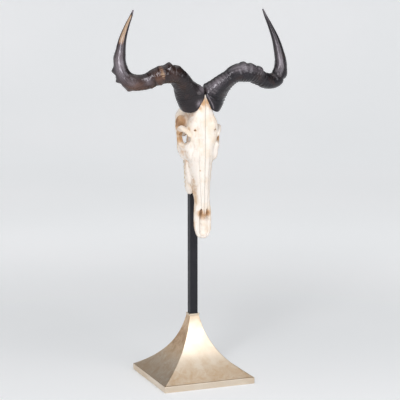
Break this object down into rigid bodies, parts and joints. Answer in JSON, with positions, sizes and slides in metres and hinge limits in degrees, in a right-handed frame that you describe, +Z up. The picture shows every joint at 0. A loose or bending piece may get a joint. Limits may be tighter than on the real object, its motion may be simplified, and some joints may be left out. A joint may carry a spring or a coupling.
{
  "type": "mounted antelope skull with horns",
  "caption": "Hartebeest-type antelope skull with its pair of lyre-shaped horns, hung nose down on a black square post that rises from a flared, pale metal pedestal.",
  "frame": {"origin": "centre of the plinth's underside, on the floor and on the post's axis", "axes": "+Z up; the skull's face looks towards -Y; the animal's right horn is at -X and its left horn at +X"},
  "size_m": [0.5736, 0.305, 1.1845],
  "materials": {
    "bone": "dry bleached bone, off-white with tan stains, faintly porous",
    "tooth": "old enamel, cream with brown grooves",
    "horn": "polished keratin, near-black brown with growth rings and amber patches",
    "pedestal_metal": "pale champagne-gold leaf, satin",
    "black_metal": "satin black paint",
    "screw_steel": "plain steel"
  },
  "bodies": {
    "root": {"base_plinth": "pedestal_metal", "base_flare": "pedestal_metal", "base_collar": "pedestal_metal", "post": "black_metal", "mounting_plate": "black_metal", "plate_screw_right": "screw_steel", "plate_screw_left": "screw_steel", "skull": "bone", "horn_right": "horn", "horn_left": "horn", "premolar_2_right": "tooth", "premolar_3_right": "tooth", "premolar_4_right": "tooth", "molar_1_right": "tooth", "molar_2_right": "tooth", "molar_3_right": "tooth", "premolar_2_left": "tooth", "premolar_3_left": "tooth", "premolar_4_left": "tooth", "molar_1_left": "tooth", "molar_2_left": "tooth", "molar_3_left": "tooth"}
  },
  "joints": []
}
